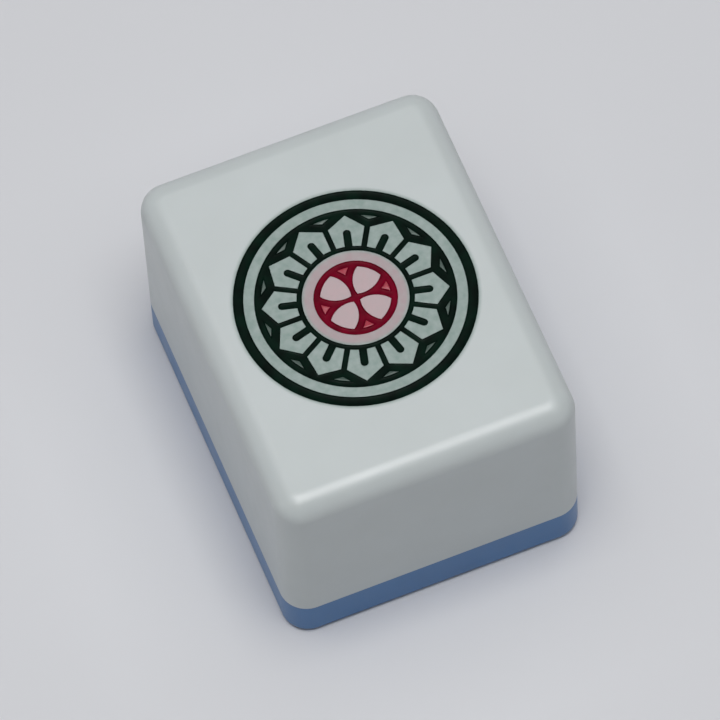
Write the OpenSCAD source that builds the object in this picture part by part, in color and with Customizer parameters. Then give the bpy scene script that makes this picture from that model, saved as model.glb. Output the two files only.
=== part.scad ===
// Two-layer game tile: a white face block bonded to a coloured back slab,
// with a round ornament engraved into the face and filled with paint.
// Millimetres. The tile lies on its back: x is its width, y its height, z points out of the face.

/* [Tile] */
// Width of the tile
tile_w = 28; // [26:0.5:40]
// Height of the tile
tile_h = 36; // [27:0.5:52]
// Radius of the four upright corners
corner_r = 2.5; // [1.2:0.1:3.2]

/* [Layers] */
// Thickness of the white face block
face_t = 18.1; // [8:0.1:26]
// Radius of the edges round the face
face_edge_r = 2.2; // [0.5:0.1:2.3]
// Thickness of the coloured back slab
back_t = 4.4; // [2.5:0.1:10]
// Radius of the edges round the back
back_edge_r = 0.7; // [0.3:0.1:2]

/* [Engraving] */
// Depth of the engraved lines below the face
groove_depth = 0.5; // [0.3:0.05:1]
// How far the dried paint lies below the face
paint_drop = 0.12; // [0.05:0.01:0.25]

/* [Rosette] */
// Radius of the rosette in the middle of the ornament
rosette_r = 3.68; // [3.2:0.02:4.2]
// Number of petals in the rosette
leaf_count = 4; // [3:1:4]
// Width of the line that rims the rosette
rosette_rim = 0.58; // [0.4:0.02:0.8]
// Width of a rosette petal
leaf_w = 2.3; // [1.6:0.05:2.4]
// Distance of a rosette petal's widest place from its round end
leaf_shoulder = 0.64; // [0.4:0.02:0.9]
// Distance of a rosette petal's point from the middle
leaf_tip = 0.42; // [0.3:0.02:0.7]
// Width of the line between a rosette petal and the small triangles beside it
leaf_line = 0.64; // [0.5:0.02:0.7]

/* [Petal band] */
// Width of the plain white ring between the rosette and the band
hub_gap = 1.02; // [0.6:0.02:1.6]
// Width of the band
band_w = 4.15; // [3.6:0.05:4.8]
// Number of petals round the band
petal_count = 12; // [9:1:14]
// Width of the line that rims the band
band_rim = 0.6; // [0.4:0.05:0.9]
// Width of the line round the feet of the petals
foot_line = 0.45; // [0.25:0.05:0.7]
// Width of the line between two petals
petal_gap = 0.5; // [0.3:0.05:0.8]
// Length of the pointed end of a petal
petal_roof = 1.28; // [0.8:0.05:1.6]
// Width of the slit that splits a petal into two legs
slit_w = 0.68; // [0.3:0.05:0.9]
// Length of the petal beyond the end of its slit
slit_crown = 1.45; // [0.9:0.05:2]
// Width of the line between a petal and the small triangles beside its point
triangle_line = 0.78; // [0.6:0.02:0.9]

/* [Outer ring] */
// Width of the plain white ring between the band and the outer ring
ring_gap = 0.95; // [0.5:0.05:1.5]
// Width of the outer ring
ring_line = 0.9; // [0.5:0.05:1.5]

/* [Hidden] */
$fn = 96;
tile_t = back_t + face_t;
// Flat left at the middle of an upright corner, inside its edge fillet
corner_land = 0.2;
// Length by which a cut passes the face
overrun = 1;

leaf_pitch = 360 / leaf_count;
leaf_top = rosette_r - rosette_rim;
leaf_belly = leaf_top - leaf_shoulder;
leaf_length = leaf_belly - leaf_tip;
leaf_half = leaf_w / 2;
// Radius of the arcs along a rosette petal's sides
leaf_arc = (leaf_length * leaf_length + leaf_half * leaf_half) / leaf_w;

band_hole_r = rosette_r + hub_gap;
band_r = band_hole_r + band_w;
petal_pitch = 360 / petal_count;
petal_half = petal_pitch / 2;
petal_tip = band_r - band_rim;
shoulder_y = petal_tip - petal_roof;
foot_r = band_hole_r + foot_line;
slit_end = petal_tip - slit_crown;
// Where the two sides of a petal would meet
side_apex = petal_gap / 2 / sin(petal_half);
shoulder_x = (shoulder_y - side_apex) * tan(petal_half);
// Angle between a petal's axis and its pointed end
roof_angle = atan2(shoulder_x, petal_roof);
// Inner point of the small triangles, on the line between two petals
triangle_apex = (triangle_line + petal_tip * sin(roof_angle)) / sin(roof_angle + petal_half);

ring_hole_r = band_r + ring_gap;
ring_r = ring_hole_r + ring_line;

// Half section of a layer from an upright corner's axis outwards, rounded at its top
module layer_section(height, edge_r) {
    round_r = min(edge_r, corner_r - corner_land);
    square([corner_r, height - round_r]);
    square([corner_r - round_r, height]);
    translate([corner_r - round_r, height - round_r]) intersection() {
        circle(round_r);
        square(2 * round_r);
    }
}

// One side of a layer with the corner at its right-hand end
module layer_side(height, edge_r, reach, run) {
    translate([reach / 2 - corner_r, run / 2 - corner_r, 0]) {
        rotate([90, 0, 0]) linear_extrude(run - 2 * corner_r) layer_section(height, edge_r);
        rotate_extrude(angle = 90) layer_section(height, edge_r);
    }
}

// A layer of the tile on its flat side, with its upper edges and its corners rounded
module layer(height, edge_r) {
    core = [tile_w - 2 * corner_r, tile_h - 2 * corner_r, height];
    translate([-core.x / 2, -core.y / 2, 0]) cube(core);
    for (turn = [0, 180]) rotate(turn) {
        layer_side(height, edge_r, tile_w, tile_h);
        rotate(90) layer_side(height, edge_r, tile_h, tile_w);
    }
}

module ring_shape() {
    difference() {
        circle(ring_r);
        circle(ring_hole_r);
    }
}

// Slit with a round end, along the petal's axis
module slit_shape() {
    straight = slit_end - slit_w / 2;
    translate([-slit_w / 2, 0]) square([slit_w, straight]);
    translate([0, straight]) intersection() {
        circle(d = slit_w);
        translate([-slit_w, 0]) square([2 * slit_w, slit_w]);
    }
}

// One petal of the band: a pointed gable on two legs
module petal_shape() {
    difference() {
        polygon([
            [0, side_apex], [shoulder_x, shoulder_y],
            [0, petal_tip], [-shoulder_x, shoulder_y]
        ]);
        circle(foot_r);
        slit_shape();
    }
}

// Small triangle left standing between two petal points and the rim
module triangle_shape() {
    spread = roof_angle + petal_half;
    side = petal_tip;
    intersection() {
        circle(petal_tip);
        translate([0, triangle_apex]) polygon([
            [0, 0],
            [side * sin(spread), side * cos(spread)], [0, side],
            [-side * sin(spread), side * cos(spread)]
        ]);
    }
}

module band_shape() {
    difference() {
        circle(band_r);
        circle(band_hole_r);
        for (i = [0 : petal_count - 1]) rotate(i * petal_pitch) {
            triangle_shape();
            rotate(petal_half) petal_shape();
        }
    }
}

// Pointed oval between the two arcs along a rosette petal's sides, widened by a line
module leaf_oval(line) {
    offset_x = leaf_arc - leaf_half;
    intersection() {
        translate([offset_x, leaf_belly]) circle(leaf_arc + line);
        translate([-offset_x, leaf_belly]) circle(leaf_arc + line);
    }
}

// One petal of the rosette: the oval, cut off round by the rim
module leaf_shape() {
    intersection() {
        circle(leaf_top);
        leaf_oval(0);
    }
}

// The small triangles left standing between the rosette petals and its rim
module leaf_triangles() {
    difference() {
        circle(leaf_top);
        for (i = [0 : leaf_count - 1]) rotate((i + 0.5) * leaf_pitch) leaf_oval(leaf_line);
    }
}

module rosette_shape() {
    difference() {
        circle(rosette_r);
        leaf_triangles();
        for (i = [0 : leaf_count - 1]) rotate((i + 0.5) * leaf_pitch) leaf_shape();
    }
}

module engraving() {
    ring_shape();
    band_shape();
    rosette_shape();
}

// Paint that fills an engraved shape from its floor
module paint() {
    translate([0, 0, tile_t - groove_depth]) linear_extrude(groove_depth - paint_drop) children();
}

module face_block() {
    color("#eef2f1") difference() {
        translate([0, 0, back_t]) layer(face_t, face_edge_r);
        translate([0, 0, tile_t - groove_depth]) linear_extrude(groove_depth + overrun) engraving();
    }
}

module back_slab() {
    color("#5b8cc4") translate([0, 0, back_t]) mirror([0, 0, 1]) layer(back_t, back_edge_r);
}

module outer_ring_paint() {
    color("#0d3327") paint() ring_shape();
}

module petal_band_paint() {
    color("#0d3327") paint() band_shape();
}

module rosette_paint() {
    color("#a5172b") paint() rosette_shape();
}

face_block();
back_slab();
outer_ring_paint();
petal_band_paint();
rosette_paint();
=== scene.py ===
import math

import bpy
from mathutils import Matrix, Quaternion, Vector


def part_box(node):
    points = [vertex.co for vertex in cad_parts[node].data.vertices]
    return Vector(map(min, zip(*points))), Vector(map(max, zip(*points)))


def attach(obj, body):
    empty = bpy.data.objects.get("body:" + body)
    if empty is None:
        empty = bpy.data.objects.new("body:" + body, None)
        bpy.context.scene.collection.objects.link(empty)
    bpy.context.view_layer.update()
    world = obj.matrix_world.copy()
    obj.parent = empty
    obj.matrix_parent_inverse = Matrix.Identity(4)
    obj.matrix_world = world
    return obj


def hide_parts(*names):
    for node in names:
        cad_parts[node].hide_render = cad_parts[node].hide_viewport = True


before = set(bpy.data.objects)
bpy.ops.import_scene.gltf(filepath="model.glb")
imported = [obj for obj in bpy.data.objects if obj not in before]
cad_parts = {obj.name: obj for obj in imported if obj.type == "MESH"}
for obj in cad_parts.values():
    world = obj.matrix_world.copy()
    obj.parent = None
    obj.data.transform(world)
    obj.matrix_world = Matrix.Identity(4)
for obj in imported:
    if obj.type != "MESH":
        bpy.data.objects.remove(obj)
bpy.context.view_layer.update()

mm = 0.001


# helpers

closeEnough = 1e-7  # metres; places nearer than this count as one
facesUp, facesAside = 0.9, 0.1  # least height of a level face's normal, most of a wall's


def linear(hexColour):
    # sRGB hex to the linear RGBA that a socket takes
    parts = [int(hexColour[i:i + 2], 16) / 255 for i in (1, 3, 5)]
    return (*[p / 12.92 if p <= 0.04045 else ((p + 0.055) / 1.055) ** 2.4 for p in parts], 1)


def addNode(tree, kind, values=None, links=None, **settings):
    node = tree.nodes.new(kind)
    for name, value in settings.items():
        setattr(node, name, value)
    for socket, value in (values or {}).items():
        node.inputs[socket].default_value = value
    for socket, source in (links or {}).items():
        tree.links.new(source, node.inputs[socket])
    return node


def perMetre(sizeMm):
    # texture scale that makes one feature this many millimetres wide
    return 1 / (sizeMm * mm)


def startMaterial(name):
    material = bpy.data.materials.new(name)
    material.use_nodes = True
    return material, material.node_tree.nodes["Principled BSDF"]


def makeActive(piece):
    bpy.ops.object.select_all(action="DESELECT")
    piece.select_set(True)
    bpy.context.view_layer.objects.active = piece


def pick(piece, kind, wanted):
    # leaves the piece in edit mode with only the wanted edges or faces selected
    bpy.ops.object.mode_set(mode="EDIT")
    bpy.ops.mesh.select_mode(type=kind)
    bpy.ops.mesh.select_all(action="DESELECT")
    bpy.ops.object.mode_set(mode="OBJECT")
    for item in {"EDGE": piece.data.edges, "FACE": piece.data.polygons}[kind]:
        item.select = wanted(item)
    bpy.ops.object.mode_set(mode="EDIT")


def edgeEnds(piece, edge):
    return [piece.data.vertices[i].co for i in edge.vertices]


def isUpright(piece):
    def test(edge):
        low, high = edgeEnds(piece, edge)
        return (high - low).xy.length < closeEnough

    return test


def isLevel(piece, level):
    return lambda edge: all(abs(end.z - level) < closeEnough for end in edgeEnds(piece, edge))


def isTop(piece, level):
    return lambda face: face.normal.z > facesUp and abs(face.center.z - level) < closeEnough


def roundEdges(piece, wanted, radius, steps):
    pick(piece, "EDGE", wanted)
    bpy.ops.mesh.bevel(offset=radius, segments=steps, affect="EDGES")
    bpy.ops.object.mode_set(mode="OBJECT")


def copyNode(node, name):
    # a copy of a CAD node, merged into one mesh because the node is loose triangles
    piece = bpy.data.objects.new(name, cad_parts[node].data.copy())
    bpy.context.scene.collection.objects.link(piece)
    piece.data.materials.clear()
    makeActive(piece)
    bpy.ops.mesh.customdata_custom_splitnormals_clear()
    bpy.ops.object.mode_set(mode="EDIT")
    bpy.ops.mesh.select_all(action="SELECT")
    bpy.ops.mesh.remove_doubles(threshold=closeEnough)
    bpy.ops.object.mode_set(mode="OBJECT")
    return piece


def finishPiece(piece, node, material, sharpAngle):
    makeActive(piece)
    bpy.ops.object.shade_smooth_by_angle(angle=math.radians(sharpAngle))
    weighted = piece.modifiers.new("flat faces lead", "WEIGHTED_NORMAL")
    weighted.keep_sharp = True
    bpy.ops.object.modifier_apply(modifier=weighted.name)
    piece.data.materials.clear()
    piece.data.materials.append(material)
    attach(piece, "root")
    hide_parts(node)
    print(piece.name, len(piece.data.polygons), "faces")


# camera: the photo's viewing angle, from far off

camera = {
    "aim": Vector((0, 0, 11 * mm)),
    "distance": 793 * mm,
    "aroundLeft": 18.43,  # degrees from the lower end of the tile towards its left side
    "elevation": 61.69,
    "roll": -3.93,
    "lens": 450,
}


def makeCamera(s):
    side, lift, roll = [math.radians(s[turn]) for turn in ("aroundLeft", "elevation", "roll")]
    back = Vector((-math.sin(side) * math.cos(lift), -math.cos(side) * math.cos(lift), math.sin(lift)))
    bpy.ops.object.camera_add(location=s["aim"] + back * s["distance"])
    viewer = bpy.context.object
    viewer.rotation_mode = "QUATERNION"
    viewer.rotation_quaternion = (-back).to_track_quat("-Z", "Y") @ Quaternion((0, 0, 1), roll)
    viewer.data.lens = s["lens"]
    bpy.context.scene.camera = viewer


makeCamera(camera)
print("camera placed")


# materials

noiseSpan = (0.3, 0.7)  # nearly all values of a noise pattern lie in here
mixFactor, mixFirst, mixSecond, mixResult = 0, 6, 7, 2  # a Mix node's names repeat, so by number

melamine = {
    "ior": 1.6,
    "cloudMm": 5,
    "rubMm": 2.2,  # patches that tumbling left duller
    "roughness": (0.3, 0.36),
    "peelMm": 1.1,  # faint waves of the moulded skin
    "peelHeightMm": 0.0016,
    "hairlineMm": (5, 0.09),  # length and width
    "hairlineTurns": [(0, 0, 20), (0, 0, -55), (0, 35, 0), (0, -25, 90)],  # degrees
    "hairlineCut": (0.74, 0.84),  # only the peaks of the streaks show as lines
    "hairlineDepthMm": 0.0012,
    "hairlineDull": 0.05,  # roughness that a line adds
}


def startMelamine(name, colour, cloudColour):
    # pressed melamine resin, tumbled: dense, softly clouded, with a satin shine and a few hairlines
    s = melamine
    material, shader = startMaterial(name)
    tree = material.node_tree
    coords = addNode(tree, "ShaderNodeTexCoord").outputs["Object"]
    cloud = addNode(tree, "ShaderNodeTexNoise", {"Scale": perMetre(s["cloudMm"]), "Detail": 3},
                    {"Vector": coords})
    tone = addNode(tree, "ShaderNodeMix", {mixFirst: linear(colour), mixSecond: linear(cloudColour)},
                   {mixFactor: cloud.outputs["Fac"]}, data_type="RGBA")

    # real hairlines are about 0.03 mm wide; these are drawn three times as wide so that they show
    along, across = [size * mm for size in s["hairlineMm"]]
    hairlines = None
    for turn in s["hairlineTurns"]:
        stretched = addNode(tree, "ShaderNodeMapping",
                            {"Rotation": [math.radians(angle) for angle in turn],
                             "Scale": (along, across, across)},
                            {"Vector": coords}, vector_type="TEXTURE")
        streak = addNode(tree, "ShaderNodeTexNoise", {"Scale": 1, "Detail": 0},
                         {"Vector": stretched.outputs["Vector"]})
        line = addNode(tree, "ShaderNodeMapRange",
                       {"From Min": s["hairlineCut"][0], "From Max": s["hairlineCut"][1]},
                       {"Value": streak.outputs["Fac"]}).outputs["Result"]
        if hairlines:
            line = addNode(tree, "ShaderNodeMath", links={0: hairlines, 1: line},
                           operation="MAXIMUM").outputs[0]
        hairlines = line

    rub = addNode(tree, "ShaderNodeTexNoise", {"Scale": perMetre(s["rubMm"]), "Detail": 4},
                  {"Vector": coords})
    gloss = addNode(tree, "ShaderNodeMapRange",
                    {"From Min": noiseSpan[0], "From Max": noiseSpan[1],
                     "To Min": s["roughness"][0], "To Max": s["roughness"][1]},
                    {"Value": rub.outputs["Fac"]})
    dulled = addNode(tree, "ShaderNodeMath", {1: s["hairlineDull"]},
                     {0: hairlines, 2: gloss.outputs["Result"]}, operation="MULTIPLY_ADD")
    tree.links.new(dulled.outputs[0], shader.inputs["Roughness"])

    peel = addNode(tree, "ShaderNodeTexNoise", {"Scale": perMetre(s["peelMm"]), "Detail": 1},
                   {"Vector": coords})
    waves = addNode(tree, "ShaderNodeBump", {"Strength": 1, "Distance": s["peelHeightMm"] * mm},
                    {"Height": peel.outputs["Fac"]})
    scored = addNode(tree, "ShaderNodeBump", {"Strength": 1, "Distance": s["hairlineDepthMm"] * mm},
                     {"Height": hairlines, "Normal": waves.outputs["Normal"]}, invert=True)
    tree.links.new(scored.outputs["Normal"], shader.inputs["Normal"])
    shader.inputs["IOR"].default_value = s["ior"]
    return material, shader, tone.outputs[mixResult]


whiteMelamine = {
    "colour": "#cdd4d5",
    "cloud": "#c6cdcd",
    "subsurface": 0.12,
    "subsurfaceMm": 0.6,
    "subsurfaceSpread": (1, 0.9, 0.8),
    "seamColour": "#7f9cc2",
    "seamBleedMm": 0.12,
    "seamLeft": 0.7,  # cover at the seam itself
    "tintNoiseMm": 0.7,
    "tintEven": (0.82, 1.18),  # weaker and stronger places of a tint
    "tintFadeMm": (0.3, 0.2),  # inside and outside its reach
    "faceTints": [
        {"colour": "#7b938b", "reachMm": 10.9, "left": 0.74},
        {"colour": "#be9ca4", "reachMm": 4.6, "left": 0.6},
        {"colour": "#cab1b5", "reachMm": 3.3, "left": 0.6},
    ],
    "filmFade": 0.1,
    "films": [  # spread: cosine at which a film ends, 1 in the middle of a triangle
        {"colour": "#33473e", "fromMm": 7.6, "toMm": 8.4, "count": 12, "spread": 0.1, "left": 0.86},
        {"colour": "#aa1634", "fromMm": 2, "toMm": 3.2, "count": 4, "spread": 0.6, "left": 0.93},
    ],
}


def makeWhiteMelamine(s):
    material, shader, tone = startMelamine("whiteMelamine", s["colour"], s["cloud"])
    tree = material.node_tree
    coords = addNode(tree, "ShaderNodeTexCoord").outputs["Object"]
    place = addNode(tree, "ShaderNodeSeparateXYZ", links={"Vector": coords}).outputs

    # blue resin that crept a hair's breadth into the white along the seam
    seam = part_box("face_block")[0].z
    creep = addNode(tree, "ShaderNodeMapRange",
                    {"From Min": seam, "From Max": seam + s["seamBleedMm"] * mm,
                     "To Min": s["seamLeft"], "To Max": 0},
                    {"Value": place["Z"]}, interpolation_type="SMOOTHSTEP")
    tints = [(s["seamColour"], creep.outputs["Result"])]  # colours over the white, with their cover

    # the white face tinted darker: pink round the rosette and greyish green out to the outer ring,
    # unevenly, fading out past each reach
    flat = addNode(tree, "ShaderNodeCombineXYZ", links={"X": place["X"], "Y": place["Y"]})
    reach = addNode(tree, "ShaderNodeVectorMath", links={0: flat.outputs["Vector"]},
                    operation="LENGTH").outputs["Value"]
    tintNoise = addNode(tree, "ShaderNodeTexNoise", {"Scale": perMetre(s["tintNoiseMm"]), "Detail": 3},
                   {"Vector": coords})
    unevenTint = addNode(tree, "ShaderNodeMapRange",
                    {"From Min": noiseSpan[0], "From Max": noiseSpan[1],
                     "To Min": s["tintEven"][0], "To Max": s["tintEven"][1]},
                    {"Value": tintNoise.outputs["Fac"]})
    for faceTint in s["faceTints"]:
        near = addNode(tree, "ShaderNodeMapRange",
                       {"From Min": (faceTint["reachMm"] - s["tintFadeMm"][0]) * mm,
                        "From Max": (faceTint["reachMm"] + s["tintFadeMm"][1]) * mm,
                        "To Min": faceTint["left"], "To Max": 0},
                       {"Value": reach}, interpolation_type="SMOOTHSTEP")
        tintCover = addNode(tree, "ShaderNodeMath",
                        links={0: near.outputs["Result"], 1: unevenTint.outputs["Result"]},
                        operation="MULTIPLY")
        tints.append((faceTint["colour"], tintCover.outputs[0]))

    # thin film of paint that stayed on the small triangles between the petals
    angle = addNode(tree, "ShaderNodeMath", links={0: place["Y"], 1: place["X"]}, operation="ARCTAN2")
    for film in s["films"]:
        turns = addNode(tree, "ShaderNodeMath", {1: film["count"]}, {0: angle.outputs[0]},
                        operation="MULTIPLY")
        spoke = addNode(tree, "ShaderNodeMath", links={0: turns.outputs[0]}, operation="COSINE")
        between = addNode(tree, "ShaderNodeMapRange",
                          {"From Min": film["spread"] - s["filmFade"], "From Max": film["spread"],
                           "To Max": film["left"]},
                          {"Value": spoke.outputs[0]})
        middle = (film["fromMm"] + film["toMm"]) / 2 * mm
        halfWidth = (film["toMm"] - film["fromMm"]) / 2 * mm
        onRing = addNode(tree, "ShaderNodeMath", {1: middle, 2: halfWidth}, {0: reach},
                         operation="COMPARE")
        stuck = addNode(tree, "ShaderNodeMath",
                        links={0: between.outputs["Result"], 1: onRing.outputs[0]},
                        operation="MULTIPLY")
        tints.append((film["colour"], stuck.outputs[0]))

    for colour, cover in tints:
        tone = addNode(tree, "ShaderNodeMix", {mixSecond: linear(colour)},
                       {mixFactor: cover, mixFirst: tone}, data_type="RGBA").outputs[mixResult]
    tree.links.new(tone, shader.inputs["Base Color"])
    shader.inputs["Subsurface Weight"].default_value = s["subsurface"]
    shader.inputs["Subsurface Radius"].default_value = s["subsurfaceSpread"]
    shader.inputs["Subsurface Scale"].default_value = s["subsurfaceMm"] * mm
    return material


blueMelamine = {"colour": "#3877b2", "cloud": "#326ea8"}


def makeBlueMelamine(s):
    material, shader, tone = startMelamine("blueMelamine", s["colour"], s["cloud"])
    material.node_tree.links.new(tone, shader.inputs["Base Color"])
    return material


enamel = {
    "green": ("#041c13", "#020e09"),  # thin and pooled
    "red": ("#780322", "#5e0219"),
    "poolMm": 1.3,
    "poolSpan": (0.35, 0.65),  # noise values between thin and pooled
    "roughness": (0.3, 0.38),
    "specular": 0.05,
    "strokeMm": (1.6, 0.16),  # length and width
    "strokeTurn": 35,  # degrees
    "strokeHeightMm": 0.002,
}


def makeEnamel(name, colours, s):
    # oil enamel brushed into the engraving and wiped: dark where it pooled, faint strokes, soft gloss
    material, shader = startMaterial(name)
    tree = material.node_tree
    coords = addNode(tree, "ShaderNodeTexCoord").outputs["Object"]
    pool = addNode(tree, "ShaderNodeTexNoise", {"Scale": perMetre(s["poolMm"]), "Detail": 4},
                   {"Vector": coords})
    depth = addNode(tree, "ShaderNodeMapRange",
                    {"From Min": s["poolSpan"][0], "From Max": s["poolSpan"][1]},
                    {"Value": pool.outputs["Fac"]})
    tone = addNode(tree, "ShaderNodeMix", {mixFirst: linear(colours[0]), mixSecond: linear(colours[1])},
                   {mixFactor: depth.outputs["Result"]}, data_type="RGBA")
    tree.links.new(tone.outputs[mixResult], shader.inputs["Base Color"])

    gloss = addNode(tree, "ShaderNodeMapRange",
                    {"To Min": s["roughness"][0], "To Max": s["roughness"][1]},
                    {"Value": pool.outputs["Fac"]})
    tree.links.new(gloss.outputs["Result"], shader.inputs["Roughness"])
    shader.inputs["Specular IOR Level"].default_value = s["specular"]

    along, across = [size * mm for size in s["strokeMm"]]
    drawn = addNode(tree, "ShaderNodeMapping",
                    {"Rotation": (0, 0, math.radians(s["strokeTurn"])),
                     "Scale": (along, across, across)},
                    {"Vector": coords}, vector_type="TEXTURE")
    stroke = addNode(tree, "ShaderNodeTexNoise", {"Scale": 1, "Detail": 1},
                     {"Vector": drawn.outputs["Vector"]})
    bump = addNode(tree, "ShaderNodeBump", {"Strength": 1, "Distance": s["strokeHeightMm"] * mm},
                   {"Height": stroke.outputs["Fac"]})
    tree.links.new(bump.outputs["Normal"], shader.inputs["Normal"])
    return material


faceResin = makeWhiteMelamine(whiteMelamine)
backResin = makeBlueMelamine(blueMelamine)
greenEnamel = makeEnamel("greenEnamel", enamel["green"], enamel)
redEnamel = makeEnamel("redEnamel", enamel["red"], enamel)
print("materials made")


# what the two layers of the tile share

layer = {
    "cornerRadius": 2.5 * mm,
    "roundSteps": 14,
    "seamRound": 0.03 * mm,  # lip along the bond
    "seamSteps": 1,
    "sharpAngle": 50,
}


def addLayer(name, low, high, edgeLevel, edgeRadius, seamLevel):
    s = layer
    bpy.ops.object.select_all(action="DESELECT")
    bpy.ops.mesh.primitive_cube_add(size=1, location=(low + high) / 2, scale=high - low)
    piece = bpy.context.object
    piece.name = name
    bpy.ops.object.transform_apply()
    roundEdges(piece, isUpright(piece), s["cornerRadius"], s["roundSteps"])
    roundEdges(piece, isLevel(piece, edgeLevel), edgeRadius, s["roundSteps"])
    roundEdges(piece, isLevel(piece, seamLevel), s["seamRound"], s["seamSteps"])
    return piece


# white face block with the engraved ornament

faceBlock = {
    "edgeRadius": 2.2 * mm,
    "engraved": ["outer_ring_paint", "petal_band_paint", "rosette_paint"],
    "cutterRise": 1 * mm,  # how far a cutter stands above the face
    "rimRadius": 0.05 * mm,
    "rimSteps": 2,
}


def engrave(piece, node, cutterTop):
    # the groove is the paint's own shape, cut up through the face
    cutter = copyNode(node, "cutter")
    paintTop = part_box(node)[1].z
    pick(cutter, "FACE", isTop(cutter, paintTop))
    bpy.ops.transform.translate(value=(0, 0, cutterTop - paintTop))
    bpy.ops.object.mode_set(mode="OBJECT")
    makeActive(piece)
    cut = piece.modifiers.new("engraving", "BOOLEAN")
    cut.object = cutter
    cut.solver = "EXACT"
    bpy.ops.object.modifier_apply(modifier=cut.name)
    bpy.data.objects.remove(cutter)


def roundRims(piece, faceLevel, s):
    # a rim is where the level face meets the wall of a groove
    tilts = {}
    for face in piece.data.polygons:
        for key in face.edge_keys:
            tilts.setdefault(key, []).append(face.normal.z)
    rims = {key for key, pair in tilts.items() if max(pair) > facesUp and min(pair) < facesAside}
    onFace = isLevel(piece, faceLevel)
    roundEdges(piece, lambda edge: edge.key in rims and onFace(edge), s["rimRadius"], s["rimSteps"])


def makeFaceBlock(s):
    low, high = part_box("face_block")
    piece = addLayer("faceBlock", low, high, high.z, s["edgeRadius"], low.z)
    for node in s["engraved"]:
        engrave(piece, node, high.z + s["cutterRise"])
    roundRims(piece, high.z, s)
    finishPiece(piece, "face_block", faceResin, layer["sharpAngle"])


makeFaceBlock(faceBlock)


# blue back slab

backSlab = {"edgeRadius": 0.7 * mm}


def makeBackSlab(s):
    low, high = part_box("back_slab")
    piece = addLayer("backSlab", low, high, low.z, s["edgeRadius"], high.z)
    finishPiece(piece, "back_slab", backResin, layer["sharpAngle"])


makeBackSlab(backSlab)


# paint that dried hollow in the engraved lines

paint = {
    "rimDrop": 0.035 * mm,  # how far its rim ends below the face
    "hollow": [(0.03 * mm, 0.05 * mm), (0.05 * mm, 0.04 * mm), (0.07 * mm, 0.02 * mm)],  # inwards, down
    "sharpAngle": 60,
}


def makePaint(node, name, material, s):
    piece = copyNode(node, name)
    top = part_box(node)[1].z
    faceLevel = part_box("face_block")[1].z
    pick(piece, "FACE", isTop(piece, top))
    bpy.ops.transform.translate(value=(0, 0, faceLevel - s["rimDrop"] - top))
    for inset, drop in s["hollow"]:
        bpy.ops.mesh.inset(thickness=inset, depth=-drop, use_even_offset=True)
    bpy.ops.object.mode_set(mode="OBJECT")
    finishPiece(piece, node, material, s["sharpAngle"])


makePaint("outer_ring_paint", "outerRingPaint", greenEnamel, paint)
makePaint("petal_band_paint", "petalBandPaint", greenEnamel, paint)
makePaint("rosette_paint", "rosettePaint", redEnamel, paint)


# pale floor and soft studio light

studio = {
    "floorSize": 8,
    "floorColour": "#dcdde1",
    "floorRoughness": 0.8,
    "floorSpecular": 0.2,
    "wallColour": "#eef1f5",
    "wallSeen": 0.95,
    "wallTop": 0.6,  # height of a direction at which the walls have faded into the ceiling
    "ceilingSeen": 0.03,
    "lamps": {
        "softboxAbove": {"towards": (-0.02, -0.1, 1), "distance": 0.9, "size": 0.45, "power": 3.6},
        "ceilingPanel": {"towards": (0, 0, 1), "distance": 0.9, "size": 1.2, "power": 4.8},
        "fillLeft": {"towards": (-0.95, 0.05, 0.3), "distance": 1.0, "size": 0.5, "power": 0.37},
    },
}


def makeFloor(s):
    # matte studio board: even, with hardly any shine
    material, shader = startMaterial("matteBoard")
    shader.inputs["Base Color"].default_value = linear(s["floorColour"])
    shader.inputs["Roughness"].default_value = s["floorRoughness"]
    shader.inputs["Specular IOR Level"].default_value = s["floorSpecular"]
    bpy.ops.object.select_all(action="DESELECT")
    bpy.ops.mesh.primitive_plane_add(size=s["floorSize"])
    floor = bpy.context.object
    floor.name = "floor"
    floor.data.materials.append(material)


def makeLamp(name, s):
    towards = Vector(s["towards"]).normalized()
    bpy.ops.object.light_add(type="AREA", location=towards * s["distance"])
    lamp = bpy.context.object
    lamp.name = name
    lamp.rotation_mode = "QUATERNION"
    lamp.rotation_quaternion = Vector((0, 0, 1)).rotation_difference(towards)
    lamp.data.size = s["size"]
    lamp.data.energy = s["power"]


def makeWorld(s):
    # pale walls that only the camera and reflections see, fading into a nearly dark ceiling
    world = bpy.data.worlds.new("studioWalls")
    bpy.context.scene.world = world
    world.use_nodes = True
    tree = world.node_tree
    background = tree.nodes["Background"]
    background.inputs["Color"].default_value = linear(s["wallColour"])
    rays = addNode(tree, "ShaderNodeLightPath").outputs
    mirrored = addNode(tree, "ShaderNodeMath",
                       links={0: rays["Is Glossy Ray"], 1: rays["Is Transmission Ray"]}, operation="ADD")
    seen = addNode(tree, "ShaderNodeMath",
                   links={0: rays["Is Camera Ray"], 1: mirrored.outputs[0]}, operation="ADD")
    wall = addNode(tree, "ShaderNodeMapRange", {"To Max": s["wallSeen"]}, {"Value": seen.outputs[0]})
    direction = addNode(tree, "ShaderNodeTexCoord").outputs["Generated"]
    height = addNode(tree, "ShaderNodeSeparateXYZ", links={"Vector": direction}).outputs["Z"]
    fade = addNode(tree, "ShaderNodeMapRange", {"From Max": s["wallTop"], "To Max": s["ceilingSeen"]},
                   {"Value": height, "To Min": wall.outputs["Result"]})
    tree.links.new(fade.outputs["Result"], background.inputs["Strength"])


makeFloor(studio)
for lampName, lampSettings in studio["lamps"].items():
    makeLamp(lampName, lampSettings)
makeWorld(studio)
bpy.context.scene.view_settings.view_transform = "Standard"
print("studio lit")
